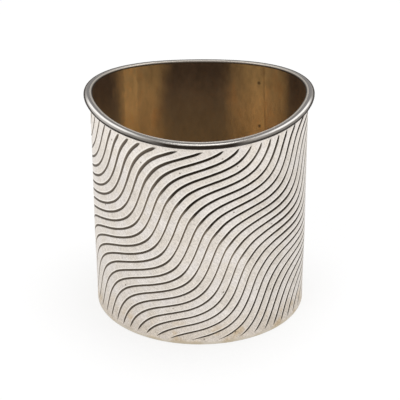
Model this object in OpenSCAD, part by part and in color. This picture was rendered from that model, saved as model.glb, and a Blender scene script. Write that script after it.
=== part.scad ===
// Engraved silver beaker: a rolled and seamed wall on a round base,
// its mouth eased into a soft triangle, with an applied rim wire and a gilt inside.
// The angle s runs round the wall, in degrees to the right from the front of the beaker.

/* [Body] */
// Height of the beaker
body_h = 76.2; // [60:0.1:110]
// Outside diameter of the round base
body_d = 75.2; // [60:0.1:100]
// Thickness of the wall's sheet
wall_t = 0.8; // [0.6:0.05:1.5]

/* [Mouth] */
// How far each of the three soft corners swells out at the mouth
corner_swell = 2.33; // [0:0.01:4]
// Tightening of the corners, which flattens the sides between them
corner_tight = 0.13; // [0:0.01:0.5]
// Easing of the first corner, which draws out the other two
corner_ease = 0.36; // [0:0.01:0.8]
// Turn of the first corner from the front
corner_turn = 0.8; // [-60:0.1:60]

/* [Base] */
// Thickness of the base plate
base_t = 1.1; // [0.8:0.1:2.5]
// Rounding of the base plate's lower edge
base_edge = 0.4; // [0.1:0.05:0.7]
// Leg of the solder fillet inside, where the wall meets the base plate
base_fillet = 1; // [0.5:0.1:2]

/* [Rim] */
// How far the rim wire stands out from the wall
rim_w = 2.25; // [1.5:0.05:4]
// Height of the rim wire, which has a half-round outer edge
rim_h = 1.75; // [1:0.05:2.5]
// Leg of the solder fillet under the rim wire
rim_fillet = 0.35; // [0.2:0.05:0.8]

/* [Seam] */
// Place of the wall's upright seam, round from the front
seam_turn = 142; // [100:1:260]
// Width of the solder line in the seam
seam_w = 0.4; // [0.2:0.05:0.8]

/* [Gilding] */
// Thickness of the gilt layer
gilt_t = 0.15; // [0.1:0.05:0.3]

/* [Engraving] */
// Number of engraved lines that start round the foot
line_count = 42; // [30:1:56]
// Height between neighbouring lines, before the wave
line_rise = 4.34; // [3.8:0.01:5]
// Share by which the lines stand further apart at one side and closer at the other
line_open = 0.059; // [0:0.001:0.2]
// Place where the lines stand furthest apart, round from the front
open_turn = -55; // [-180:1:180]
// Share of a line's step by which the whole set is raised
line_phase = 0.71; // [0:0.01:1]
// Number of waves round the wall
wave_count = 3; // [2:1:4]
// Height over which the wave repeats, near the foot
wave_rise = 69.2; // [62:0.1:110]
// Swing of the wave at the foot, in line steps
wave_swing = 1.34; // [0:0.01:1.5]
// Share of the swing that is lost on the way up to the mouth
swing_fade = 0.35; // [0.1:0.01:0.9]
// Turn of the wave at the front of the foot
wave_phase = -16; // [-180:1:180]
// Turn by which the wave has run ahead at the mouth
wave_ahead = 85; // [0:1:110]
// Turn by which the wave is held back at the front of the mouth, and hurried at the back
wave_hold = 47; // [0:1:90]
// Crowding of the waves towards the front and the back
wave_crowd = 16.5; // [0:0.5:30]
// Slow drift of the lines round the wall, in line steps
drift_swing = 0.96; // [0:0.01:1.2]
// Turn of the drift from the front
drift_phase = 197; // [0:1:360]
// Width of a cut at half height, where it runs flattest
cut_w = 0.8; // [0.5:0.05:1]
// How much wider a cut is at the mouth than at the foot
cut_widening = 0.5; // [0:0.05:0.5]
// Share of its width that a cut loses at half height, where it runs steepest
steep_thinning = 0.45; // [0:0.05:0.6]
// Depth of a cut
cut_d = 0.3; // [0.1:0.05:0.4]
// Plain band left above the foot
foot_band = 0.3; // [0.2:0.1:5]
// Plain band left under the mouth, rim wire included
mouth_band = 3.4; // [3.2:0.1:8]
// Height over which a cut tapers to a point at the foot
foot_taper = 2.2; // [1:0.1:5]
// Height over which a cut tapers to a point at the mouth
mouth_taper = 0.9; // [0.5:0.1:5]

/* [Hidden] */

silver = "#d9d6d0";
solder = "#a9a39a";
gilt = "#9a6b2f";

// Facets: columns round the beaker, rows up its smooth inside, steps in a half round
columns = 72;
inside_rows = 5;
round_steps = 8;

front = -90;
body_r = body_d / 2;
wall_foot = base_t;
rim_low = body_h - rim_h;
cut_low = wall_foot + foot_band;
cut_high = body_h - mouth_band;
// A cut that would reach less than this past a band is left out of that column
cut_least = 0.15;
// The edge of a cut goes at most this share of the way to a band
cut_reach = 0.8;
slot_spare = 1;
$fn = 96;

// Radius of the wall's outside: round at the foot, a soft triangle at the mouth
function swell(s) =
    let (corner = s - corner_turn)
    corner_swell * cos(3 * corner) + corner_tight * cos(6 * corner) - corner_ease * cos(4 * corner);
function outside(s, z) = body_r + swell(s) * z / body_h;
function inside(s, z) = outside(s, z) - wall_t;
function turn_of(column) = column * 360 / columns;
function place(s, r, z) = [r * cos(front + s), r * sin(front + s), z];

// Wave of the engraving: its turn in degrees and its swing in line steps
function wave_turn(s, z) =
    let (up = z / body_h)
    wave_count * s + 360 * z / wave_rise + wave_phase
    + wave_ahead * up * up - wave_hold * up * cos(s) + wave_crowd * sin(2 * s);
function swing(z) = wave_swing * (1 - swing_fade * z / body_h);

// The lines lie where line_at is a whole number
function steady_climb(s) = (1 - line_open * cos(s - open_turn)) / line_rise;
function line_at(s, z) =
    z * steady_climb(s) - line_count * s / 360 + line_phase
    + swing(z) * sin(wave_turn(s, z)) + drift_swing * sin(2 * s + drift_phase);

// Change of line_at per millimetre, up the wall and round it
function climb_rate(s, z) =
    let (turn = wave_turn(s, z),
         turn_rate = 360 / wave_rise + (2 * wave_ahead * z / body_h - wave_hold * cos(s)) / body_h)
    steady_climb(s) + swing(z) * cos(turn) * turn_rate * PI / 180
    - wave_swing * swing_fade / body_h * sin(turn);
function round_rate(s, z) =
    let (turn_rate = wave_count
             + (wave_hold * z / body_h * sin(s) + 2 * wave_crowd * cos(2 * s)) * PI / 180)
    (-line_count / (2 * PI)
     + z * line_open * sin(s - open_turn) / line_rise
     + swing(z) * cos(wave_turn(s, z)) * turn_rate
     + 2 * drift_swing * cos(2 * s + drift_phase)) / body_r;

// Height at which a line crosses a column, by halving the wall between two heights
function line_height(s, line, low, high, halvings = 24) =
    let (middle = (low + high) / 2)
    halvings == 0 ? middle
    : line_at(s, middle) < line ? line_height(s, line, middle, high, halvings - 1)
    : line_height(s, line, low, middle, halvings - 1);

// Width of a cut, square to its own direction
function cut_width(s, z) =
    let (steep = (1 - cos(wave_turn(s, z))) / 2 * sin(180 * z / body_h))
    (cut_w + cut_widening * (z / body_h - 1 / 2)) * (1 - steep_thinning * steep);

// Lower edge, bottom and upper edge of a cut in one column, each as [height, depth]
function cut_section(s, line) =
    let (z = line_height(s, line, cut_low, cut_high),
         room_below = z - cut_low,
         room_above = cut_high - z,
         taper = sqrt(min(1, room_below / foot_taper, room_above / mouth_taper)),
         lean = norm([climb_rate(s, z), round_rate(s, z)]) / climb_rate(s, z),
         half = cut_width(s, z) / 2 * lean * taper)
    [[z - min(half, cut_reach * room_below), 0],
     [z, cut_d * taper],
     [z + min(half, cut_reach * room_above), 0]];

function first_line(s) = ceil(line_at(s, cut_low + cut_least));
function last_line(s) = floor(line_at(s, cut_high - cut_least));

// Two triangles of a face with rows low and high in columns a and b, split the same way everywhere
function two_faces(low_a, low_b, high_b, high_a) =
    [for (face = [[low_a, high_a, low_b], [low_b, high_a, high_b]])
        if (face[0] != face[1] && face[1] != face[2] && face[2] != face[0]) face];

function flip(faces) = [for (face = faces) [face[0], face[2], face[1]]];

// Closed ring whose section, one list of points per column, is drawn up the outside and down the inside
module ring(sections) {
    rows = len(sections[0]);
    points = [for (section = sections) each section];
    faces = [for (a = [0:columns - 1], i = [0:rows - 1])
        let (b = (a + 1) % columns,
             next = (i + 1) % rows,
             rising = sections[a][next][2] >= sections[a][i][2],
             low = rising ? i : next,
             high = rising ? next : i,
             pair = two_faces(a * rows + low, b * rows + low, b * rows + high, a * rows + high))
        each rising ? pair : flip(pair)];
    polyhedron(points, faces);
}

// Heights of the rows on the smooth inside, from the top of the base fillet to the mouth
inside_heights = [for (i = [0:inside_rows])
    let (low = wall_foot + base_fillet) low + (body_h - low) * i / inside_rows];

// Section of the engraved wall in one column: foot, cuts from low to high, mouth, then down the inside
function wall_section(s, first, count) = concat(
    [place(s, outside(s, wall_foot), wall_foot), place(s, outside(s, cut_low), cut_low)],
    [for (i = [0:count - 1])
        let (line = first + i, inactive = line < first_line(s) || line > last_line(s))
        each inactive ? [for (e = [0:2]) place(s, outside(s, cut_low), cut_low)]
        : [for (edge = cut_section(s, line)) place(s, outside(s, edge[0]) - edge[1], edge[0])]],
    [for (z = [cut_high, rim_low - rim_fillet, rim_low, body_h]) place(s, outside(s, z), z)],
    [for (i = [inside_rows:-1:0]) place(s, inside(s, inside_heights[i]), inside_heights[i])],
    [place(s, inside(s, wall_foot), wall_foot)]);

// Rolled sheet with its engraving, before the seam is parted
module engraved_ring() {
    firsts = [for (a = [0:columns]) first_line(turn_of(a))];
    lasts = [for (a = [0:columns]) last_line(turn_of(a))];
    slots = max([for (a = [0:columns]) lasts[a] - firsts[a] + 1]);
    size = 2 + 3 * slots + 4 + inside_rows + 2;
    top = 2 + 3 * slots;
    points = [for (a = [0:columns - 1]) each wall_section(turn_of(a), firsts[a], slots)];
    // Number of a cut's point: lines below the cut band share its low point, lines above its high point
    function cut_point(a, line, edge) =
        let (column = a % columns, place_in = line - firsts[a])
        line < firsts[a] ? column * size + 1
        : line > lasts[a] ? column * size + top
        : column * size + 2 + 3 * place_in + edge;
    faces = [for (a = [0:columns - 1])
        let (b = a + 1,
             here = a * size,
             there = (b % columns) * size,
             low = min(firsts[a], firsts[b]),
             high = max(lasts[a], lasts[b]))
        each concat(
            two_faces(here, there, there + 1, here + 1),
            two_faces(here + 1, there + 1, cut_point(b, low, 0), cut_point(a, low, 0)),
            [for (line = [low:high]) each concat(
                two_faces(cut_point(a, line, 0), cut_point(b, line, 0),
                          cut_point(b, line, 1), cut_point(a, line, 1)),
                two_faces(cut_point(a, line, 1), cut_point(b, line, 1),
                          cut_point(b, line, 2), cut_point(a, line, 2)),
                two_faces(cut_point(a, line, 2), cut_point(b, line, 2),
                          cut_point(b, line + 1, 0), cut_point(a, line + 1, 0)))],
            [for (i = [top:top + 3]) each two_faces(here + i, there + i, there + i + 1, here + i + 1)],
            [for (i = [top + 4:size - 2])
                each flip(two_faces(here + i + 1, there + i + 1, there + i, here + i))],
            two_faces(here + size - 1, there + size - 1, there, here))];
    polyhedron(points, faces);
}

// Gap in the rolled sheet that the seam's solder fills
module seam_slot() {
    rotate(front + seam_turn)
        translate([body_r / 2, -seam_w / 2, wall_foot - slot_spare])
            cube([body_r, seam_w, body_h + slot_spare]);
}

module body_wall() {
    color(silver) difference() {
        engraved_ring();
        seam_slot();
    }
}

module side_seam() {
    color(solder) intersection() {
        engraved_ring();
        seam_slot();
    }
}

module base_plate() {
    color(silver) rotate_extrude() {
        translate([0, base_edge]) square([body_r, base_t - base_edge]);
        square([body_r - base_edge, base_t]);
        intersection() {
            translate([body_r - base_edge, base_edge]) circle(base_edge);
            square([body_r, base_t]);
        }
    }
}

module base_solder() {
    high = wall_foot + base_fillet;
    color(solder) ring([for (a = [0:columns - 1])
        let (s = turn_of(a))
        [place(s, inside(s, wall_foot), wall_foot),
         place(s, inside(s, high), high),
         place(s, inside(s, wall_foot) - base_fillet, wall_foot)]]);
}

module rim_wire() {
    nose = rim_h / 2;
    color(silver) ring([for (a = [0:columns - 1])
        let (s = turn_of(a))
        concat(
            [place(s, outside(s, rim_low), rim_low)],
            [for (i = [0:round_steps])
                let (angle = -90 + 180 * i / round_steps)
                place(s, outside(s, body_h) + rim_w - nose + nose * cos(angle),
                      rim_low + nose + nose * sin(angle))],
            [place(s, outside(s, body_h), body_h)])]);
}

module rim_solder() {
    low = rim_low - rim_fillet;
    color(solder) ring([for (a = [0:columns - 1])
        let (s = turn_of(a))
        [place(s, outside(s, low), low),
         place(s, outside(s, rim_low) + rim_fillet, rim_low),
         place(s, outside(s, rim_low), rim_low)]]);
}

// Gilt layer over the floor, the fillet and the inside of the wall, as one thin cup
module gilt_lining() {
    slant = gilt_t * tan(22.5);
    rows = inside_rows + 1;
    outer_row = 2;
    inner_row = outer_row + rows;
    size = inner_row + rows;
    points = concat(
        [[0, 0, base_t], [0, 0, base_t + gilt_t]],
        [for (a = [0:columns - 1])
            let (s = turn_of(a))
            each concat(
                [place(s, inside(s, wall_foot) - base_fillet, base_t),
                 place(s, inside(s, wall_foot) - base_fillet - slant, base_t + gilt_t)],
                [for (z = inside_heights) place(s, inside(s, z), z)],
                [for (i = [0:inside_rows])
                    let (z = inside_heights[i] + (i == 0 ? slant : 0))
                    place(s, inside(s, z) - gilt_t, z)])]);
    function at(a, i) = 2 + (a % columns) * size + i;
    faces = [for (a = [0:columns - 1])
        let (b = a + 1)
        each concat(
            [[0, at(a, 0), at(b, 0)], [1, at(b, 1), at(a, 1)]],
            two_faces(at(a, 0), at(b, 0), at(b, outer_row), at(a, outer_row)),
            flip(two_faces(at(a, 1), at(b, 1), at(b, inner_row), at(a, inner_row))),
            [for (i = [0:inside_rows - 1]) each concat(
                two_faces(at(a, outer_row + i), at(b, outer_row + i),
                          at(b, outer_row + i + 1), at(a, outer_row + i + 1)),
                flip(two_faces(at(a, inner_row + i), at(b, inner_row + i),
                               at(b, inner_row + i + 1), at(a, inner_row + i + 1))))],
            two_faces(at(a, outer_row + inside_rows), at(b, outer_row + inside_rows),
                      at(b, inner_row + inside_rows), at(a, inner_row + inside_rows)))];
    color(gilt) polyhedron(points, faces);
}

body_wall();
side_seam();
base_plate();
base_solder();
rim_wire();
rim_solder();
gilt_lining();
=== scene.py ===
import math

import bmesh
import bpy
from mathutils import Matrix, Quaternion, Vector


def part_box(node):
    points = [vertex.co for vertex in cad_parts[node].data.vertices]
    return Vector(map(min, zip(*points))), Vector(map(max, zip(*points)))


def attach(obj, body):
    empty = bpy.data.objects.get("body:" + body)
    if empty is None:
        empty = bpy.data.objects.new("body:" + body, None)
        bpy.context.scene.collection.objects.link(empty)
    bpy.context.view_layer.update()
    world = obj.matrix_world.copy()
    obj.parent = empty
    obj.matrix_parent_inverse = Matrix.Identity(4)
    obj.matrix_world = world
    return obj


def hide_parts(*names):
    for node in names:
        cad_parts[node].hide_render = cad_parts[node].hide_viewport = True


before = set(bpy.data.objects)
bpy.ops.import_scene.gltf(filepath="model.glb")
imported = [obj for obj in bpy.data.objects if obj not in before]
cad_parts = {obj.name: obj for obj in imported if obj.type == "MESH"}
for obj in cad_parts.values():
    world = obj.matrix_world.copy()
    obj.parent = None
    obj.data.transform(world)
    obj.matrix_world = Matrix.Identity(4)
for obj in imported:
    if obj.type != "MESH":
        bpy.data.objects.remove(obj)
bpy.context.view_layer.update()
scene = bpy.context.scene
mm = 0.001
toDegrees = 180 / math.pi

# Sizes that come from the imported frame
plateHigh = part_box("base_plate")[1]
wallLow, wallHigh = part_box("body_wall")
baseRadius = plateHigh.x
plateTop = plateHigh.z
wallFoot = wallLow.z
bodyHeight = wallHigh.z
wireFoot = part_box("rim_wire")[0].z
print("frame: beaker", round(bodyHeight / mm, 1), "mm high, base radius", round(baseRadius / mm, 2), "mm")

# The wall is round at the foot and a soft triangle at the mouth; turns run to the right from its front
wallForm = {
    "Base Radius": baseRadius,
    "Body Height": bodyHeight,
    "Corner Swell": 2.33 * mm,
    "Corner Tight": 0.13 * mm,
    "Corner Ease": 0.36 * mm,                 # rounds the first corner and draws out the other two
    "Corner Turn": math.radians(0.8),
    "Foot Draw": 0.5 * mm,                    # how far the wall is drawn in at the foot
    "Foot Reach": 30 * mm,
}
sheet = {"thickness": 0.8 * mm, "lipRound": 0.5 * mm, "lipSteps": 6, "outerEase": 0.06 * mm}
seam = {"turn": math.radians(142), "width": 0.4 * mm, "columns": 2}
meshing = {
    "aroundSteps": 640,                       # columns round every swept piece
    "weldReach": 0.0005 * mm,
    "crispAngle": math.radians(38),           # edges sharper than this aren't smoothed over
}


# Arithmetic for node trees: a Formula is one number in a tree
class Formula:
    def __init__(self, tree, socket):
        self.tree = tree
        self.socket = socket

    def __add__(self, other):
        return calc("ADD", self, other)

    def __radd__(self, other):
        return calc("ADD", other, self)

    def __sub__(self, other):
        return calc("SUBTRACT", self, other)

    def __rsub__(self, other):
        return calc("SUBTRACT", other, self)

    def __mul__(self, other):
        return calc("MULTIPLY", self, other)

    def __rmul__(self, other):
        return calc("MULTIPLY", other, self)

    def __truediv__(self, other):
        return calc("DIVIDE", self, other)

    def __rtruediv__(self, other):
        return calc("DIVIDE", other, self)


def feed(tree, slot, value):                  # links a socket, or sets a plain value
    if isinstance(value, Formula):
        value = value.socket
    if isinstance(value, bpy.types.NodeSocket):
        tree.links.new(value, slot)
    elif slot.type == "RGBA":
        slot.default_value = (*value, 1)
    else:
        slot.default_value = value


def calc(operation, *values):
    tree = next(value.tree for value in values if isinstance(value, Formula))
    node = tree.nodes.new("ShaderNodeMath")
    node.operation = operation
    for slot, value in zip(node.inputs, values):
        feed(tree, slot, value)
    return Formula(tree, node.outputs[0])


def sine(angle):
    return calc("SINE", angle)


def cosine(angle):
    return calc("COSINE", angle)


def sizeOf(value):                            # without its sign
    return calc("ABSOLUTE", value)


def lengthOf(x, y):
    return calc("SQRT", x * x + y * y)


def turnOf(x, y):                             # angle from y toward x
    return calc("ARCTAN2", x, y)


def lesser(first, second):
    return calc("MINIMUM", first, second)


def greater(first, second):
    return calc("MAXIMUM", first, second)


def between(value, low, high):
    return lesser(greater(value, low), high)


def eased(value, low, high):                  # 0 below low, 1 above high, smooth between
    tree = value.tree
    node = tree.nodes.new("ShaderNodeMapRange")
    node.interpolation_type = "SMOOTHSTEP"
    feed(tree, node.inputs["Value"], value)
    feed(tree, node.inputs["From Min"], low)
    feed(tree, node.inputs["From Max"], high)
    return Formula(tree, node.outputs["Result"])


def falling(value, low, high):                # 1 below low, 0 above high
    return 1 - eased(value, low, high)


def hump(value, starts, full, ends, gone):    # 1 from full to ends, 0 outside
    return eased(value, starts, full) * falling(value, ends, gone)


def vectorOf(tree, x, y, z):
    node = tree.nodes.new("ShaderNodeCombineXYZ")
    for slot, value in zip(node.inputs, (x, y, z)):
        feed(tree, slot, value)
    return node.outputs[0]


def partsOf(tree, vector):
    node = tree.nodes.new("ShaderNodeSeparateXYZ")
    feed(tree, node.inputs[0], vector)
    return [Formula(tree, part) for part in node.outputs]


def noise(tree, vector, grain, detail=3.0, roughness=0.5):     # grain is the size of a blotch in metres
    node = tree.nodes.new("ShaderNodeTexNoise")
    feed(tree, node.inputs["Vector"], vector)
    node.inputs["Scale"].default_value = 1 / grain
    node.inputs["Detail"].default_value = detail
    node.inputs["Roughness"].default_value = roughness
    return Formula(tree, node.outputs[0])


# Geometry Nodes: trees with named inputs
def newTree(name, kinds):
    tree = bpy.data.node_groups.new(name, "GeometryNodeTree")
    tree.interface.new_socket("Profile", in_out="INPUT", socket_type="NodeSocketGeometry")
    for label, kind in kinds.items():
        tree.interface.new_socket(label, in_out="INPUT", socket_type="NodeSocket" + kind)
    tree.interface.new_socket("Shape", in_out="OUTPUT", socket_type="NodeSocketGeometry")
    entry = tree.nodes.new("NodeGroupInput")
    given = {slot.name: Formula(tree, slot) for slot in entry.outputs if slot.name}
    return tree, given


def addNode(tree, kind, settings=None, **values):
    node = tree.nodes.new("GeometryNode" + kind)
    for key, value in (settings or {}).items():
        setattr(node, key, value)
    for label, value in values.items():
        feed(tree, node.inputs[label], value)
    return node


def gridOf(tree, columns, rows):              # the grid, and the column and row that each point is in
    grid = addNode(tree, "MeshGrid", **{"Vertices X": columns + 1, "Vertices Y": rows})
    index = Formula(tree, addNode(tree, "InputIndex").outputs[0])
    column = calc("FLOOR", (index + 0.5) / rows)
    return grid.outputs["Mesh"], column, index - column * rows


def keepNumber(tree, shape, name, value):     # stores a number on the shape's points, for its finish
    kept = addNode(tree, "StoreNamedAttribute", {"data_type": "FLOAT"},
                   Geometry=shape, Name=name, Value=value)
    return kept.outputs[0]


def wallPoint(tree, turn, radius, height):
    return vectorOf(tree, radius * sine(turn), -1 * radius * cosine(turn), height)


def putOnWall(tree, shape, turn, radius, height):
    placed = addNode(tree, "SetPosition", Geometry=shape, Position=wallPoint(tree, turn, radius, height))
    return placed.outputs[0]


def outsideRadius(given, turn, height):       # the wall's outside
    corner = turn - given["Corner Turn"]
    swell = given["Corner Swell"] * cosine(3 * corner) + given["Corner Tight"] * cosine(6 * corner)
    swell = swell - given["Corner Ease"] * cosine(4 * corner)
    drawn = given["Foot Draw"] * falling(height, 0, given["Foot Reach"])
    return given["Base Radius"] + swell * height / given["Body Height"] - drawn


def columnTurn(given, column):
    return given["Start"] + column * given["Span"] / given["Columns"]


def closeShape(tree, shape, material):        # weld, smooth, realize, dress and hand out
    welded = addNode(tree, "MergeByDistance", Geometry=shape, Distance=meshing["weldReach"])
    smooth = addNode(tree, "SetShadeSmooth", Geometry=welded.outputs[0])
    bend = Formula(tree, addNode(tree, "InputMeshEdgeAngle").outputs["Unsigned Angle"])
    crisp = addNode(tree, "SetShadeSmooth", {"domain": "EDGE"}, Geometry=smooth.outputs[0],
                    Selection=calc("GREATER_THAN", bend, meshing["crispAngle"]))
    crisp.inputs["Shade Smooth"].default_value = False
    real = addNode(tree, "RealizeInstances", Geometry=crisp.outputs[0])
    dressed = addNode(tree, "SetMaterial", Geometry=real.outputs[0], Material=material)
    result = tree.nodes.new("NodeGroupOutput")
    feed(tree, result.inputs[0], dressed.outputs[0])


# Swept rings: a profile point is an offset, a share of the wall's radius, a height and a shade
ringInputs = {
    **{label: "Float" for label in wallForm},
    "Columns": "Int", "Start": "Float", "Span": "Float",
    "Closed": "Int",                          # 1 joins the profile's last point to its first
    "Material": "Material",
}


def sweptShape(tree, given):
    profile = given["Profile"]
    counted = addNode(tree, "AttributeDomainSize", Geometry=profile)
    points = Formula(tree, counted.outputs["Point Count"])
    mesh, column, row = gridOf(tree, given["Columns"], points + given["Closed"])
    at = calc("FLOORED_MODULO", row, points)

    def sampled(kind, value):
        node = addNode(tree, "SampleIndex", {"data_type": kind}, Geometry=profile, Value=value, Index=at)
        return node.outputs[0]

    where = addNode(tree, "InputPosition")
    shade = addNode(tree, "InputNamedAttribute", {"data_type": "FLOAT"}, Name="shade")
    offset, share, height = partsOf(tree, sampled("FLOAT_VECTOR", where.outputs[0]))
    turn = columnTurn(given, column)
    radius = offset + share * outsideRadius(given, turn, height)
    shaded = keepNumber(tree, mesh, "shade", sampled("FLOAT", shade.outputs[0]))
    return putOnWall(tree, shaded, turn, radius, height)


def makeSweepTree():
    tree, given = newTree("sweptRing", ringInputs)
    closeShape(tree, sweptShape(tree, given), given["Material"])
    return tree


# Engraving: lines lie where a climb, a wave and a slow drift add up to a whole number
engraving = {
    "Line Count": 42,                         # lines that start round the foot
    "Line Rise": 4.34 * mm,
    "Line Open": 0.059,                       # how much further apart the lines stand at one side
    "Open Turn": math.radians(-55),
    "Line Phase": 0.71,
    "Wave Count": 3,
    "Wave Rise": 69.2 * mm,
    "Wave Swing": 1.34,                       # at the foot, in line steps
    "Swing Fade": 0.35,                       # share of the swing lost at the mouth
    "Wave Phase": math.radians(-16),
    "Wave Ahead": math.radians(85),           # how far the wave has run ahead at the mouth
    "Wave Hold": math.radians(47),            # how far it is held back at the front of the mouth
    "Wave Crowd": math.radians(16.5),
    "Drift Swing": 0.96,
    "Drift Phase": math.radians(197),
    "Cut Width": 0.85 * mm,                   # at half height, where a line runs flat
    "Cut Widening": 0.34 * mm,                # how much wider a cut is at the mouth than at the foot
    "Cut Depth": 0.30 * mm,
    "Cut Low": 1.4 * mm,
    "Cut High": 72.8 * mm,
    "Foot Taper": 2.2 * mm,
    "Mouth Taper": 0.9 * mm,
    "Steep Thinning": 0.34,                   # share of its width that a cut loses where it runs steep
    "Steep Lift": 0.35 * mm,                  # a steep stretch keeps to the cut's upper edge
    "Right Lift": 0.13 * mm,
    "Right Press": 0.35,                      # how much wider the cuts are where the hand pressed harder
    "Left Press": 0.2,
    "Hand Wander": 0.22 * mm,                 # unsteadiness of the graver
    "Light Hand": 0.86,                       # share of its width that a cut has under the lightest hand
    "Hand Change": 0.28,                      # what the heaviest adds to that
}
engravingLines = {"first": -57, "count": 61, "solveSteps": 22}         # the lines that cross the wall
handGrain = {"wander": 7 * mm, "press": 4 * mm}                # how soon the hand changes along a cut
steepTurns = (79, 134, 206, 252)              # degrees of a wave: steep starts, is full, ends, is gone
cutSection = {                                # across one cut, from its lower edge to its upper edge
    "across": (-1.4, -1.0, -0.55, 0.0, 0.6, 1.0, 1.35, 2.1),   # in half widths
    "depth": (0.0, 0.0, 0.60, 1.0, 0.62, 0.0, 0.0, 0.0),
    "tarnish": (0.0, 0.40, 1.0, 1.0, 1.0, 0.50, 0.0, 0.0),
    # lip places a painted highlight along the cut's upper edge
    "lip": (0.0, 0.0, 0.0, 0.0, 0.0, 0.5, 1.0, 0.0),
    "flank": (0.0, 0.0, 0.1, 0.5, 1.0, 1.0, 1.0, 1.0),         # the cut's upper side
}


def pick(tree, index, values):
    node = addNode(tree, "IndexSwitch", {"data_type": "FLOAT"})
    while len(node.index_switch_items) < len(values):
        node.index_switch_items.new()
    for slot, value in zip(node.inputs, (index, *values)):
        feed(tree, slot, value)
    return Formula(tree, node.outputs[0])


def waveTurn(given, turn, height):            # how far along its wave a line is
    up = height / given["Body Height"]
    rise = math.tau * height / given["Wave Rise"] + given["Wave Ahead"] * up * up
    around = given["Wave Count"] * turn + given["Wave Crowd"] * sine(2 * turn)
    return around + rise - given["Wave Hold"] * up * cosine(turn) + given["Wave Phase"]


def waveSwing(given, height):
    return given["Wave Swing"] * (1 - given["Swing Fade"] * height / given["Body Height"])


def steadyClimb(given, turn):                 # lines passed in a metre of height, apart from the wave
    return (1 - given["Line Open"] * cosine(turn - given["Open Turn"])) / given["Line Rise"]


def lineHeight(tree, given, turn, line):      # height of a line, by going round until it settles
    climb = steadyClimb(given, turn)
    drift = given["Drift Swing"] * sine(2 * turn + given["Drift Phase"])
    level = line - given["Line Phase"] + given["Line Count"] * turn / math.tau - drift
    repeatIn = addNode(tree, "RepeatInput")
    repeatOut = addNode(tree, "RepeatOutput")
    repeatIn.pair_with_output(repeatOut)
    repeatOut.repeat_items.clear()
    repeatOut.repeat_items.new("FLOAT", "Height")
    repeatIn.inputs["Iterations"].default_value = engravingLines["solveSteps"]
    feed(tree, repeatIn.inputs["Height"], level / climb)
    guess = Formula(tree, repeatIn.outputs["Height"])
    better = (level - waveSwing(given, guess) * sine(waveTurn(given, turn, guess))) / climb
    feed(tree, repeatOut.inputs["Height"], better)
    return Formula(tree, repeatOut.outputs["Height"])


def lineLean(given, turn, height):            # how much taller a cut measures where its line runs steep
    inWave = waveTurn(given, turn, height)
    wave = waveSwing(given, height) * cosine(inWave)
    hurry = 2 * given["Wave Ahead"] * height / given["Body Height"] - given["Wave Hold"] * cosine(turn)
    climb = steadyClimb(given, turn) + wave * (math.tau / given["Wave Rise"] + hurry / given["Body Height"])
    climb = climb - given["Wave Swing"] * given["Swing Fade"] / given["Body Height"] * sine(inWave)
    crowd = given["Wave Count"] + 2 * given["Wave Crowd"] * cosine(2 * turn)
    crowd = crowd + given["Wave Hold"] * height / given["Body Height"] * sine(turn)
    drift = 2 * given["Drift Swing"] * cosine(2 * turn + given["Drift Phase"])
    opening = height * given["Line Open"] * sine(turn - given["Open Turn"]) / given["Line Rise"]
    sideways = (wave * crowd + drift + opening - given["Line Count"] / math.tau) / given["Base Radius"]
    return lengthOf(climb, sideways) / climb


def steepShare(given, turn, height):          # 1 on the steep stretches of the front and back
    inWave = calc("FLOORED_MODULO", waveTurn(given, turn, height), math.tau)
    share = hump(inWave, *[math.radians(degrees) for degrees in steepTurns])
    share = share * eased(height, 12 * mm, 34 * mm) * (1 - 0.5 * eased(height, 50 * mm, 62 * mm))
    return share * (1 - 0.9 * eased(sizeOf(sine(turn)), 0.34, 0.85))


def handPress(given, turn, height):           # how much wider a cut is where the hand pressed harder
    toRight = sine(turn)
    middleRight = eased(toRight, 0.5, 0.88) * eased(height, 24 * mm, 44 * mm)
    middleRight = middleRight * (1 - 0.8 * eased(height, 52 * mm, 62 * mm))
    lowRight = eased(toRight, 0.4, 0.8) * falling(height, 18 * mm, 30 * mm)
    highRight = eased(toRight, 0.4, 0.7) * eased(height, 59 * mm, 70 * mm)
    highLeft = hump(-1 * toRight, 0.2, 0.42, 0.8, 0.95) * eased(height, 54 * mm, 66 * mm)
    return given["Right Press"] * (middleRight + lowRight + highRight) + given["Left Press"] * highLeft


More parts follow.
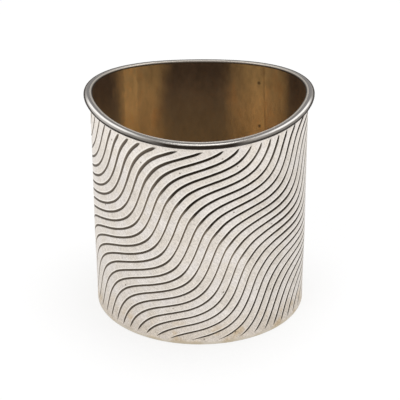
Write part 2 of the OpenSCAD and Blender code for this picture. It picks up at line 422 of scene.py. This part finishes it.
def makeEngravedTree():
    tree, given = newTree("engravedSheet", {**ringInputs, **{label: "Float" for label in engraving}})
    perLine = len(cutSection["across"])
    shape, column, row = gridOf(tree, given["Columns"], perLine * engravingLines["count"])
    turn = columnTurn(given, column)
    lineSlot = calc("FLOOR", (row + 0.5) / perLine)
    onCut = row - lineSlot * perLine

    # Where the line runs, and where the hand took it
    middle = lineHeight(tree, given, turn, lineSlot + engravingLines["first"])
    lean = lineLean(given, turn, middle)
    steep = steepShare(given, turn, middle)
    wander = noise(tree, wallPoint(tree, turn, given["Base Radius"], middle), handGrain["wander"], 2)
    hand = noise(tree, wallPoint(tree, turn, given["Body Height"], middle), handGrain["press"])
    lift = steep * given["Steep Lift"] + eased(sine(turn), 0.35, 0.7) * given["Right Lift"]
    middle = middle + ((wander - 0.5) * given["Hand Wander"] + lift) * lean

    # Width of the cut, square to its own direction, and its tapered ends
    width = given["Cut Width"] + given["Cut Widening"] * (middle / given["Body Height"] - 0.5)
    width = width * (1 - given["Steep Thinning"] * steep + handPress(given, turn, middle))
    width = width * (given["Light Hand"] + given["Hand Change"] * hand)
    footTaper = (middle - given["Cut Low"]) / given["Foot Taper"]
    mouthTaper = (given["Cut High"] - middle) / given["Mouth Taper"]
    taper = calc("SQRT", between(lesser(footTaper, mouthTaper), 0, 1))
    height = middle + pick(tree, onCut, cutSection["across"]) * 0.5 * width * lean * taper
    height = between(height, given["Cut Low"], given["Cut High"])
    depth = pick(tree, onCut, cutSection["depth"]) * given["Cut Depth"] * taper
    radius = outsideRadius(given, turn, height) - depth

    # tarnish marks a cut's patina, lip its painted highlight, flank its upper side
    for label in ("tarnish", "lip", "flank"):
        shape = keepNumber(tree, shape, label, pick(tree, onCut, cutSection[label]) * taper)
    shape = keepNumber(tree, shape, "steep", steep)
    joined = addNode(tree, "JoinGeometry")
    feed(tree, joined.inputs[0], putOnWall(tree, shape, turn, radius, height))
    feed(tree, joined.inputs[0], sweptShape(tree, given))
    closeShape(tree, joined.outputs[0], given["Material"])
    return tree


# From a tree to a plain mesh
def profileMesh(name, points):
    profile = bpy.data.meshes.new(name)
    profile.from_pydata([point[:3] for point in points], [], [])
    shade = profile.attributes.new("shade", "FLOAT", "POINT")
    for number, point in enumerate(points):
        shade.data[number].value = point[3] if len(point) > 3 else 0
    return profile


def runTree(name, tree, points, values):
    profile = profileMesh(name + "Profile", points)
    piece = bpy.data.objects.new(name, profile)
    scene.collection.objects.link(piece)
    modifier = piece.modifiers.new("shape", "NODES")
    modifier.node_group = tree
    for item in tree.interface.items_tree:
        if item.in_out == "INPUT" and item.name in values:
            modifier[item.identifier] = values[item.name]
    evaluated = piece.evaluated_get(bpy.context.evaluated_depsgraph_get())
    made = bpy.data.meshes.new_from_object(evaluated)
    piece.modifiers.remove(modifier)
    piece.data = made
    made.name = name
    bpy.data.meshes.remove(profile)
    print("made", name, len(made.polygons), "faces")
    return piece


def capEnds(piece):                           # closes the two ends of a parted ring
    shape = bmesh.new()
    shape.from_mesh(piece.data)
    edges = [edge for edge in shape.edges if edge.is_boundary]
    caps = bmesh.ops.holes_fill(shape, edges=edges)["faces"]
    for cap in caps:
        cap.smooth = False
    shape.to_mesh(piece.data)
    shape.free()


# Finishes: colours are mixed by where a point is and by the numbers that it carries
def newFinish(name):
    finish = bpy.data.materials.new(name)
    finish.use_nodes = True
    tree = finish.node_tree
    shader = tree.nodes["Principled BSDF"]
    coordinates = tree.nodes.new("ShaderNodeTexCoord")
    return finish, tree, shader, coordinates.outputs["Object"]


def dressMetal(tree, shader, tone, roughness):
    feed(tree, shader.inputs["Base Color"], tone)
    shader.inputs["Metallic"].default_value = 1
    feed(tree, shader.inputs["Roughness"], roughness)


def addBump(tree, shader, look, pattern):
    node = tree.nodes.new("ShaderNodeBump")
    node.inputs["Strength"].default_value = look["bumpStrength"]
    node.inputs["Distance"].default_value = look["bumpHeight"]
    feed(tree, node.inputs["Height"], pattern)
    feed(tree, shader.inputs["Normal"], node.outputs[0])


def blendTone(tree, share, first, second):
    node = tree.nodes.new("ShaderNodeMix")
    node.data_type = "RGBA"
    feed(tree, node.inputs[0], share)
    feed(tree, node.inputs[6], first)         # 6 and 7 are the two colours
    feed(tree, node.inputs[7], second)
    return node.outputs[2]


def shadeTone(tree, tone, level):             # a tone made lighter or darker by a number
    node = tree.nodes.new("ShaderNodeVectorMath")
    node.operation = "SCALE"
    feed(tree, node.inputs[0], tone)
    feed(tree, node.inputs["Scale"], level)
    return node.outputs[0]


def carried(tree, name):                      # a number that the piece's own points carry
    node = tree.nodes.new("ShaderNodeAttribute")
    node.attribute_name = name
    return Formula(tree, node.outputs["Fac"])


def drawnOut(tree, vector, share):            # makes a pattern longer upward
    node = tree.nodes.new("ShaderNodeVectorMath")
    node.operation = "MULTIPLY"
    feed(tree, node.inputs[0], vector)
    node.inputs[1].default_value = (1, 1, share)
    return node.outputs[0]


def speckles(tree, vector, spacing, size, core=0.4):           # 1 in a small spot's core, 0 away from it
    node = tree.nodes.new("ShaderNodeTexVoronoi")
    feed(tree, node.inputs["Vector"], vector)
    node.inputs["Scale"].default_value = 1 / spacing
    reach = size / spacing
    return falling(Formula(tree, node.outputs["Distance"]), core * reach, reach)


# Engraved silver: satin between the cuts with painted shade and highlights, tarnished in the cuts with
# painted light on them, painted reflections on the edge of the mouth
engravedLook = {
    "cream": (0.75, 0.69, 0.62),
    "lilac": (0.735, 0.688, 0.645),
    "footStain": (0.60, 0.46, 0.29),
    "pit": (0.12, 0.09, 0.06),
    "lip": (1.0, 0.95, 0.88),                 # painted highlight along a cut's upper edge
    "cut": (0.034, 0.025, 0.017),
    # painted light on a cut's upper flank
    "litCutFlank": (0.21, 0.172, 0.135),
    "steepCut": (0.33, 0.275, 0.215),
    # painted reflections on the edge of the mouth: grey on top, dark where it rounds inward, paler there at
    # the sides
    "mouthFront": (0.36, 0.33, 0.29),
    "mouthSide": (0.34, 0.31, 0.27),
    "mouthBack": (0.44, 0.40, 0.35),
    "mouthInside": (0.075, 0.065, 0.055),
    "paleInside": (0.19, 0.175, 0.16),
    "mottleGrain": 5 * mm,
    "stainGrain": 7 * mm,
    "satinGrain": 0.55 * mm,
    "scratchWidth": 0.5 * mm,
    "pitSpacing": 4.5 * mm,
    "pitSize": 0.42 * mm,
    "roughness": 0.36,
    "bumpStrength": 0.2,
    "bumpHeight": 0.015 * mm,
}


def landTone(tree, place, satin, scratches):  # the silver between the cuts, with painted shade and highlights
    x, y, z = partsOf(tree, place)
    toRight = x / lengthOf(x, y)
    mottle = noise(tree, place, engravedLook["mottleGrain"])
    tone = blendTone(tree, eased(mottle, 0.38, 0.62), engravedLook["cream"], engravedLook["lilac"])
    stains = 0.25 + 0.75 * eased(noise(tree, place, engravedLook["stainGrain"]), 0.48, 0.66)
    tone = blendTone(tree, 0.85 * stains * falling(z, 1.5 * mm, 13 * mm), tone, engravedLook["footStain"])
    # painted shade: darker to the right, low down and low on the left; painted highlight near the mouth,
    # most at the sides
    level = 1.04 - 0.09 * eased(toRight, 0.25, 0.85)
    level = level - 0.025 * falling(z, 16 * mm, 34 * mm) - 0.05 * falling(z, 3 * mm, 9 * mm)
    level = level - 0.03 * falling(toRight, -0.6, -0.2) * falling(z, 34 * mm, 52 * mm)
    level = level + (0.02 + 0.10 * eased(sizeOf(toRight), 0.2, 0.6)) * eased(z, 56 * mm, 70 * mm)
    level = level + 0.35 * (mottle - 0.5) + 0.9 * (satin - 0.5) + 0.5 * (scratches - 0.5)
    tone = shadeTone(tree, tone, level)
    pits = speckles(tree, place, engravedLook["pitSpacing"], engravedLook["pitSize"])
    tone = blendTone(tree, 0.8 * pits, tone, engravedLook["pit"])
    # painted highlight along each cut's upper edge
    return blendTone(tree, carried(tree, "lip"), tone, engravedLook["lip"])


def cutTone(tree, place):                     # black patina to the right and near the mouth; painted light elsewhere, strongest on the cuts' upper flank
    x, y, z = partsOf(tree, place)
    toRight = x / lengthOf(x, y)
    blackened = greater(0.3 + 0.5 * eased(toRight, 0.2, 0.6), eased(z, 28 * mm, 52 * mm))
    # share of painted light in the cut, most on its upper flank and on the left
    litFlank = (1 - eased(toRight, -0.52, -0.12) * blackened) * (0.35 + 0.65 * carried(tree, "flank"))
    tone = blendTone(tree, litFlank, engravedLook["cut"], engravedLook["litCutFlank"])
    return blendTone(tree, 0.9 * carried(tree, "steep"), tone, engravedLook["steepCut"])


def mouthTone(tree, place, outside):          # the sheet's edge at the mouth with painted reflections, blended into the outside
    x, y = partsOf(tree, place)[:2]
    toSide = sizeOf(x / lengthOf(x, y))
    toBack = y / baseRadius
    shade = carried(tree, "shade")
    onEdge = eased(shade, 0.1, 0.5)
    # painted reflection on top of the edge, lighter at the back
    edge = blendTone(tree, eased(toSide, 0.35, 0.6), engravedLook["mouthFront"], engravedLook["mouthSide"])
    edge = blendTone(tree, eased(toBack, 0.2, 0.8), edge, engravedLook["mouthBack"])
    # painted shade where the edge rounds inward, with a painted highlight at the sides
    pale = hump(toSide, 0.30, 0.5, 0.85, 0.98) * falling(toBack, -0.1, 0.1)
    inside = blendTone(tree, pale, engravedLook["mouthInside"], engravedLook["paleInside"])
    inward = eased(shade + 0.22 * eased(toBack, 0.8, 0.98), 0.55, 0.85)
    tone = blendTone(tree, onEdge, outside, edge)
    return blendTone(tree, inward * onEdge, tone, inside)


def engravedSilverFinish():
    finish, tree, shader, place = newFinish("engravedSilver")
    x, y, z = partsOf(tree, place)
    arc = turnOf(x, -1 * y) * baseRadius
    satin = noise(tree, place, engravedLook["satinGrain"], roughness=0.6)
    slanted = vectorOf(tree, arc + z, 0.1 * (arc - z), 0)      # scratches run ten times their width
    scratches = noise(tree, slanted, engravedLook["scratchWidth"], 2)
    tarnish = eased(carried(tree, "tarnish") * (0.85 + 0.3 * satin), 0.15, 0.85)
    outside = blendTone(tree, tarnish, landTone(tree, place, satin, scratches), cutTone(tree, place))
    roughness = engravedLook["roughness"] + 0.12 * satin + 0.2 * tarnish
    dressMetal(tree, shader, mouthTone(tree, place, outside), roughness)
    addBump(tree, shader, engravedLook, satin + scratches)
    return finish


# Rim silver: painted reflections, highlights and shade round the wire; it carries 0 under its nose, 1 on
# the nose's top and 2 at the wall
rimLook = {
    # tones of painted reflections and highlights round the wire
    "flank": (0.23, 0.21, 0.19),
    "paleFlank": (0.46, 0.43, 0.40),
    "top": (0.14, 0.128, 0.12),
    "backTop": (0.27, 0.25, 0.23),
    "backInner": (0.46, 0.43, 0.385),
    "shine": (0.25, 0.237, 0.22),
    "sideShine": (0.93, 0.90, 0.86),
    # painted shade along the wire's outline
    "outline": (0.04, 0.033, 0.027),
    # tarnish for spots, and a dark painted reflection under the nose at the front
    "tarnish": (0.026, 0.020, 0.015),
    "grain": 0.6 * mm,
    "wearGrain": 5 * mm,
    "spotSpacing": 4 * mm,
    "spotSize": 0.3 * mm,
    "roughness": 0.24,
    "bumpStrength": 0.2,
    "bumpHeight": 0.02 * mm,
}


def rimSilverFinish():
    finish, tree, shader, place = newFinish("rimSilver")
    x, y = partsOf(tree, place)[:2]
    fromAxis = lengthOf(x, y)
    grain = noise(tree, place, rimLook["grain"], roughness=0.6)
    wear = noise(tree, place, rimLook["wearGrain"])
    roll = 180 * carried(tree, "shade") - 90                   # degrees round the nose
    roll = roll + 16 * (wear - 0.5) + 10 * (grain - 0.5)
    side = turnOf(sizeOf(x), -1 * y) * toDegrees               # degrees from the front
    front = falling(side, 14, 27)
    beside = eased(side, 20, 46)
    behind = eased(side, 112, 150)
    left = eased(-1 * x / fromAxis, 0.5, 0.85)

    # Nose and top: painted reflections, paler on the left and behind, grey on the flat top
    paleLeft = left * falling(side, 80, 100) * eased(roll, -12, 18)
    tone = blendTone(tree, paleLeft, rimLook["flank"], rimLook["paleFlank"])
    # dark painted reflection under the nose at the front
    tone = blendTone(tree, front, tone, rimLook["tarnish"])
    tone = blendTone(tree, behind, tone, rimLook["paleFlank"])
    top = blendTone(tree, greater(0.6 * front, behind), rimLook["top"], rimLook["backTop"])
    top = blendTone(tree, behind * eased(roll, 150, 230), top, rimLook["backInner"])
    tone = blendTone(tree, eased(roll, 80, 130), tone, top)

    # A painted highlight runs along the nose as a band, higher up at the sides
    bandRoll = 54 + 2 * front + 15 * beside
    bandReach = 18 + 9 * front + 10 * beside
    across = (roll - bandRoll) / bandReach
    band = eased(across, -1, -0.35) * falling(across - 0.2 * left, 0.45, 1.15) * falling(side, 76, 92)
    tone = blendTone(tree, band, tone, blendTone(tree, beside, rimLook["shine"], rimLook["sideShine"]))

    # Painted shade along the wire's outline, where the nose turns away from a view from the front and
    # above; dull there
    turnsUnder = calc("ARCTANGENT", 2.05 * y / fromAxis) * toDegrees
    beyond = roll - turnsUnder
    outline = falling(beyond / (80 - 14 * eased(side, 40, 70) + 90 * behind), 0.68, 1)
    outline = outline * eased(beyond, -40, -12) * eased(side, 14, 26)
    tone = blendTone(tree, 0.95 * outline, tone, rimLook["outline"])
    spots = speckles(tree, place, rimLook["spotSpacing"], rimLook["spotSize"])
    tone = blendTone(tree, 0.7 * spots, tone, rimLook["tarnish"])
    dressMetal(tree, shader, tone, rimLook["roughness"] + 0.14 * grain + 0.3 * outline)
    feed(tree, shader.inputs["Metallic"], 1 - outline)
    feed(tree, shader.inputs["Specular IOR Level"], 0.5 - 0.45 * outline)
    addBump(tree, shader, rimLook, grain)
    return finish


# Gilding: painted reflections as gold bands on brown, lighter low down and darker near the mouth, with the
# seam's mark and a few pits
giltLook = {
    "gold": (0.98, 0.635, 0.265),
    # deep tones: painted light, lighter low in the cup
    "deepGold": (0.98, 0.65, 0.285),
    "ember": (0.99, 0.53, 0.18),
    "brown": (0.20, 0.133, 0.083),
    "deepBrown": (0.385, 0.295, 0.18),
    "seamMark": (0.30, 0.125, 0.045),
    # pits, and painted shade on the gilding's top edge
    "pit": (0.03, 0.02, 0.013),
    "floorGold": 0.25,                        # share of gold on the cup's floor
    "leftGold": 0.76,
    "streakGold": 0.6,
    "seamShare": 0.3,
    "seamStray": math.radians(2.2),           # the solder's mark isn't quite upright
    "seamSpots": ((144.8, 69.1 * mm), (143.7, 52.5 * mm)),     # pits beside the seam: degrees, height
    "streakGrain": 9 * mm,
    "cloudGrain": 6 * mm,
    "fineGrain": 1.4 * mm,
    "broadGrain": 12 * mm,
    "spotSpacing": 11 * mm,
    "spotSize": 0.7 * mm,
    "roughness": 0.45,
    "bumpStrength": 0.15,
    "bumpHeight": 0.1 * mm,
}


def giltBands(tree, place, warp):             # share of gold round the inside, as painted reflections
    x, y, z = partsOf(tree, place)
    toRight = turnOf(x, y) * toDegrees + warp                  # degrees from the back
    toLeft = -1 * toRight
    leftBand = giltLook["leftGold"] * hump(toLeft, 16.5, 29, 42, 53)
    brightStreak = giltLook["streakGold"] * hump(toLeft, 35, 39, 41, 46)
    rightBand = hump(toRight, 8, 39, 46, 57) * (1 - 0.3 * eased(toRight, 40, 45))
    upWall = eased(z, plateTop + 1 * mm, plateTop + 9 * mm)
    floorGold = giltLook["floorGold"]
    return floorGold + upWall * (leftBand + brightStreak + rightBand - floorGold)


def giltMarks(tree, place, tone):             # the seam's mark, and pits
    x, y, z = partsOf(tree, place)
    turn = turnOf(x, -1 * y)
    stray = giltLook["seamStray"] * falling(z, 44 * mm, 76 * mm)
    fromSeam = sizeOf(turn - seam["turn"] + stray) * baseRadius
    mark = giltLook["seamShare"] * falling(fromSeam, 0.05 * mm, 0.6 * mm)
    mark = mark * eased(z, plateTop + 0.5 * mm, plateTop + 2 * mm)
    tone = blendTone(tree, mark, tone, giltLook["seamMark"])
    spots = speckles(tree, place, giltLook["spotSpacing"], giltLook["spotSize"])
    tone = blendTone(tree, 0.7 * spots, tone, giltLook["pit"])
    for spotTurn, spotHeight in giltLook["seamSpots"]:
        fromSpot = lengthOf((turn - math.radians(spotTurn)) * baseRadius, z - spotHeight)
        tone = blendTone(tree, 0.65 * falling(fromSpot, 0.2 * mm, 0.9 * mm), tone, giltLook["pit"])
    # painted shade on the gilding's top edge, where it carries shade
    return blendTone(tree, carried(tree, "shade"), tone, giltLook["pit"])


def gildingWithPaintedReflectionsFinish():
    finish, tree, shader, place = newFinish("gildingWithPaintedReflections")
    x, y, z = partsOf(tree, place)
    streaks = noise(tree, drawnOut(tree, place, 0.08), giltLook["streakGrain"])
    clouds = noise(tree, drawnOut(tree, place, 0.45), giltLook["cloudGrain"], 4, 0.6)
    fine = noise(tree, drawnOut(tree, place, 0.5), giltLook["fineGrain"])
    broad = noise(tree, drawnOut(tree, place, 0.5), giltLook["broadGrain"], 2)
    warp = 6 * (streaks - 0.5) + 9 * (clouds - 0.5) + 12 * (broad - 0.5)       # degrees
    # painted light: lighter tones low in the cup
    deep = falling(z, 45 * mm, 76 * mm)
    gold = blendTone(tree, deep, giltLook["gold"], giltLook["deepGold"])
    gold = blendTone(tree, 0.6 * eased(clouds, 0.52, 0.7), gold, giltLook["ember"])
    brown = blendTone(tree, deep, giltLook["brown"], giltLook["deepBrown"])
    # painted reflections: gold bands on brown
    tone = blendTone(tree, giltBands(tree, place, warp), brown, gold)
    # painted shade near the mouth, under the rim
    level = 1 - 0.38 * eased(z, 60 * mm, 76 * mm) + 0.5 * (clouds - 0.5) + 0.25 * (fine - 0.5)
    tone = giltMarks(tree, place, shadeTone(tree, tone, level))
    dressMetal(tree, shader, tone, giltLook["roughness"] + 0.15 * fine)
    addBump(tree, shader, giltLook, streaks + 0.3 * fine)
    return finish


# Solder: may be tarnished, darkest along the front, where it is also painted shadow under the rim wire;
# painted reflection on its edge at the mouth
solderLook = {
    "dull": (0.36, 0.33, 0.29),
    "bright": (0.56, 0.53, 0.48),
    # tarnish, and painted shadow under the rim wire at the front
    "tarnish": (0.03, 0.024, 0.018),
    # painted reflection where the seam reaches the edge of the mouth
    "mouthEdge": (0.09, 0.08, 0.065),
    "grain": 0.8 * mm,
    "roughness": 0.35,
    "bumpStrength": 0.3,
    "bumpHeight": 0.03 * mm,
}


def solderFinish(name, tarnished=False):
    finish, tree, shader, place = newFinish(name)
    grain = noise(tree, place, solderLook["grain"])
    tone = blendTone(tree, eased(grain, 0.3, 0.7), solderLook["dull"], solderLook["bright"])
    if tarnished:
        x, y = partsOf(tree, place)[:2]
        # darker to the front: tarnish, and painted shadow under the rim wire
        toFront = eased(-1 * y / lengthOf(x, y), 0.45, 0.8)
        tone = blendTone(tree, 0.3 + 0.7 * toFront, tone, solderLook["tarnish"])
    # painted reflection on the seam's edge at the mouth, dark as on the wall
    onEdge = eased(carried(tree, "shade"), 0.1, 0.5)
    tone = blendTone(tree, 0.7 * onEdge, tone, solderLook["mouthEdge"])
    dressMetal(tree, shader, tone, solderLook["roughness"] + 0.2 * grain)
    addBump(tree, shader, solderLook, grain)
    return finish


# Base silver: faint turned rings
baseLook = {
    "silver": (0.66, 0.60, 0.51),
    "stain": (0.57, 0.49, 0.37),
    "ringWidth": 0.5 * mm,
    "mottleGrain": 7 * mm,
    "roughness": 0.34,
    "bumpStrength": 0.2,
    "bumpHeight": 0.02 * mm,
}


def baseSilverFinish():
    finish, tree, shader, place = newFinish("baseSilver")
    x, y = partsOf(tree, place)[:2]
    rings = noise(tree, vectorOf(tree, lengthOf(x, y), 0, 0), baseLook["ringWidth"], 2)
    mottle = noise(tree, place, baseLook["mottleGrain"])
    tone = blendTone(tree, eased(mottle, 0.38, 0.62), baseLook["silver"], baseLook["stain"])
    tone = shadeTone(tree, tone, 0.9 + 0.2 * rings)
    dressMetal(tree, shader, tone, baseLook["roughness"] + 0.14 * rings)
    addBump(tree, shader, baseLook, rings)
    return finish


engravedSilver = engravedSilverFinish()
rimSilver = rimSilverFinish()
gildingWithPaintedReflections = gildingWithPaintedReflectionsFinish()
silverSolder = solderFinish("silverSolder")
tarnishedShadedSolder = solderFinish("tarnishedShadedSolder", tarnished=True)
baseSilver = baseSilverFinish()
print("finishes made")

sweepTree = makeSweepTree()
engravedTree = makeEngravedTree()


def arcPoints(offset, height, radius, start, end, steps, share=1.0, shade=None):
    points = []
    for step in range(steps + 1):
        angle = math.radians(start + (end - start) * step / steps)
        point = (offset + radius * math.cos(angle), share, height + radius * math.sin(angle))
        points.append(point + ((shade(math.degrees(angle)),) if shade else ()))
    return points


def sweepRing(name, points, material):        # a whole ring
    return runTree(name, sweepTree, points, {
        **wallForm, "Columns": meshing["aroundSteps"], "Start": seam["turn"], "Span": math.tau,
        "Closed": 1, "Material": material})


def sweepSheet(name, points, start, span, columns, material):  # a stretch of the engraved wall
    piece = runTree(name, engravedTree, points, {
        **wallForm, **engraving, "Columns": columns, "Start": start, "Span": span,
        "Closed": 0, "Material": material})
    capEnds(piece)
    return piece


# Wall and seam: plain stretches above and below the engraving, and the smooth inside
def sheetProfile():
    inner = -sheet["thickness"]
    lip = sheet["lipRound"]
    ease = sheet["outerEase"]
    return [
        (0, 1, engraving["Cut High"]),
        (0, 1, wireFoot),
        (0, 1, bodyHeight - ease),
        # the shade numbers pick the painted reflections on the edge of the mouth
        (-ease, 1, bodyHeight, 0.5),
        *arcPoints(inner + lip, bodyHeight - lip, lip, 90, 180, sheet["lipSteps"],
                   shade=lambda angle: 0.5 + (angle - 90) / 180),
        (inner, 1, wallFoot),
        (0, 1, wallFoot),
        (0, 1, engraving["Cut Low"]),
    ]


halfSeam = seam["width"] / 2 / baseRadius     # its turn
engravedWall = sweepSheet("engravedWall", sheetProfile(), seam["turn"] + halfSeam, math.tau - 2 * halfSeam,
                          meshing["aroundSteps"], engravedSilver)
seamLine = sweepSheet("seamLine", sheetProfile(), seam["turn"] - halfSeam, 2 * halfSeam,
                      seam["columns"], tarnishedShadedSolder)

# Rim wire: flat on top, half round outside
rim = {
    "width": 2.1 * mm,
    "height": 2.0 * mm,
    "innerEase": 0.08 * mm,
    "noseSteps": 24,
    "flatShare": 0.6,                         # place of one more point on the flat, for its shade
}
wireUnder = bodyHeight - rim["height"]


def wireProfile():
    nose = rim["height"] / 2
    flat = rim["width"] - nose
    ease = rim["innerEase"]
    flatShare = rim["flatShare"]
    return [
        (0, 1, wireUnder, 0),
        *arcPoints(flat, wireUnder + nose, nose, -90, 90, rim["noseSteps"],
                   shade=lambda angle: (angle + 90) / 180),
        (flat * flatShare, 1, bodyHeight, 2 - flatShare),
        (ease, 1, bodyHeight, 2),
        (0, 1, bodyHeight - ease, 2),
    ]


rimWire = sweepRing("rimWire", wireProfile(), rimSilver)

# Solder under the rim wire, drawn in as it flowed
rimFillet = {"leg": 0.35 * mm, "steps": 5}


def rimFilletProfile():
    leg = rimFillet["leg"]
    return [
        *reversed(arcPoints(leg, wireUnder - leg, leg, 90, 180, rimFillet["steps"])),
        (0, 1, wireUnder),
    ]


rimSolder = sweepRing("rimSolder", rimFilletProfile(), tarnishedShadedSolder)

# Base plate with a rounded lower edge
plate = {
    "edgeRound": 0.4 * mm,
    "edgeSteps": 5,
    "edgeBand": 1.2 * mm,                     # ring inside the edge that keeps the underside's shading flat
}


def plateProfile():
    edge = plate["edgeRound"]
    radius = baseRadius - wallForm["Foot Draw"]
    return [
        (0, 0, 0),
        (radius - plate["edgeBand"], 0, 0),
        *arcPoints(radius - edge, edge, edge, -90, 0, plate["edgeSteps"], share=0.0),
        (radius, 0, plateTop),
        (0, 0, plateTop),
    ]


basePlate = sweepRing("basePlate", plateProfile(), baseSilver)

# Solder in the corner of wall and plate
baseFillet = {"leg": 1.0 * mm}


def baseFilletProfile():
    leg = baseFillet["leg"]
    inner = -sheet["thickness"]
    return [
        (inner, 1, plateTop + leg),
        (inner - leg, 1, plateTop),
        (inner, 1, plateTop),
    ]


baseSolder = sweepRing("baseSolder", baseFilletProfile(), silverSolder)

# Gilt layer over the whole inside
gilding = {
    "thickness": 0.15 * mm,
    "corner": 1.0 * mm,
    "cornerSteps": 6,
    "belowLip": 0.3 * mm,
    # how far down the painted shade on the top edge fades
    "darkEdge": 0.45 * mm,
}


def giltProfile():
    layer = gilding["thickness"]
    corner = gilding["corner"]
    outer = -sheet["thickness"]
    inner = outer - layer
    top = bodyHeight - gilding["belowLip"]
    floor = plateTop + layer
    return [
        (0, 0, plateTop),
        (outer - corner, 1, plateTop),
        (outer, 1, plateTop + corner),
        # shade 1 on the top edge: painted shade there
        (outer, 1, top, 1),
        (inner, 1, top - layer, 1),
        (inner, 1, top - gilding["darkEdge"]),
        *reversed(arcPoints(inner - corner, floor + corner, corner, -90, 0, gilding["cornerSteps"])),
        (0, 0, floor),
    ]


giltLining = sweepRing("giltLining", giltProfile(), gildingWithPaintedReflections)

pieces = [
    (engravedWall, "body_wall", "engraved_silver"),
    (seamLine, "side_seam", "solder"),
    (rimWire, "rim_wire", "plain_silver"),
    (rimSolder, "rim_solder", "solder"),
    (basePlate, "base_plate", "plain_silver"),
    (baseSolder, "base_solder", "solder"),
    (giltLining, "gilt_lining", "gilding"),
]
for piece, node, slotName in pieces:
    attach(piece, "root")
    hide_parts(node)
print("pieces in place")

# Camera at the photograph's angle
view = {
    "above": math.radians(25.857),
    "distance": 491.8 * mm,
    "aim": Vector((0.09 * mm, 0, 36.85 * mm)),
    "roll": math.radians(-0.17),
    "lens": 125.35,
    "sensor": 36,
    "nearest": 10 * mm,
}


def placeCamera():
    lens = bpy.data.cameras.new("studioCamera")
    lens.lens = view["lens"]
    lens.sensor_width = view["sensor"]
    lens.clip_start = view["nearest"]
    camera = bpy.data.objects.new("studioCamera", lens)
    scene.collection.objects.link(camera)
    back = Vector((0, -math.cos(view["above"]), math.sin(view["above"])))
    camera.location = view["aim"] + back * view["distance"]
    camera.rotation_mode = "QUATERNION"
    look = (-back).to_track_quat("-Z", "Y")
    camera.rotation_quaternion = look @ Quaternion((0, 0, 1), view["roll"])
    scene.camera = camera


placeCamera()

# White paper floor in a white room, soft lamps
studio = {
    "floorSize": 4.0,
    "paperTone": 0.97,
    "paperGlow": 0.72,                        # share of the floor's white that no shadow takes away
    "worldLevel": 0.38,                       # what the surroundings add to unpolished surfaces
    "lamps": (                                # name, place, size, power
        ("keyLamp", (-0.8, -1.0, 1.5), 0.9, 4.0),
        ("topLamp", (0.1, 0.1, 1.7), 1.2, 20.0),
        ("sideLamp", (1.2, -0.5, 0.9), 0.8, 1.5),
    ),
}


def seenPlainly(tree):                        # 1 for the camera, for reflections and through glass
    path = tree.nodes.new("ShaderNodeLightPath")
    rays = [Formula(tree, path.outputs[name])
            for name in ("Is Camera Ray", "Is Glossy Ray", "Is Transmission Ray")]
    return greater(greater(rays[0], rays[1]), rays[2])


def whitePaper():
    paper = bpy.data.materials.new("whitePaper")
    paper.use_nodes = True
    tree = paper.node_tree
    tree.nodes.clear()
    matte = tree.nodes.new("ShaderNodeBsdfDiffuse")
    matte.inputs["Color"].default_value = (*[studio["paperTone"]] * 3, 1)
    glow = tree.nodes.new("ShaderNodeEmission")
    mix = tree.nodes.new("ShaderNodeMixShader")
    output = tree.nodes.new("ShaderNodeOutputMaterial")
    feed(tree, mix.inputs[0], studio["paperGlow"] * seenPlainly(tree))
    feed(tree, mix.inputs[1], matte.outputs[0])
    feed(tree, mix.inputs[2], glow.outputs[0])
    feed(tree, output.inputs["Surface"], mix.outputs[0])
    return paper


def layFloor():
    half = studio["floorSize"] / 2
    corners = [(-half, -half, 0), (half, -half, 0), (half, half, 0), (-half, half, 0)]
    mesh = bpy.data.meshes.new("paperFloor")
    mesh.from_pydata(corners, [], [(0, 1, 2, 3)])
    mesh.materials.append(whitePaper())
    floor = bpy.data.objects.new("paperFloor", mesh)
    scene.collection.objects.link(floor)


def lightRoom():
    world = bpy.data.worlds.new("whiteRoom")
    scene.world = world
    world.use_nodes = True
    tree = world.node_tree
    background = tree.nodes["Background"]
    background.inputs["Color"].default_value = (1, 1, 1, 1)
    level = studio["worldLevel"]
    feed(tree, background.inputs["Strength"], level + (1 - level) * seenPlainly(tree))
    for name, place, size, power in studio["lamps"]:
        lamp = bpy.data.lights.new(name, "AREA")
        lamp.shape = "DISK"
        lamp.size = size
        lamp.energy = power
        holder = bpy.data.objects.new(name, lamp)
        scene.collection.objects.link(holder)
        holder.location = place
        holder.rotation_euler = (view["aim"] - Vector(place)).to_track_quat("-Z", "Y").to_euler()


layFloor()
lightRoom()
scene.view_settings.view_transform = "Standard"
print("studio lit")
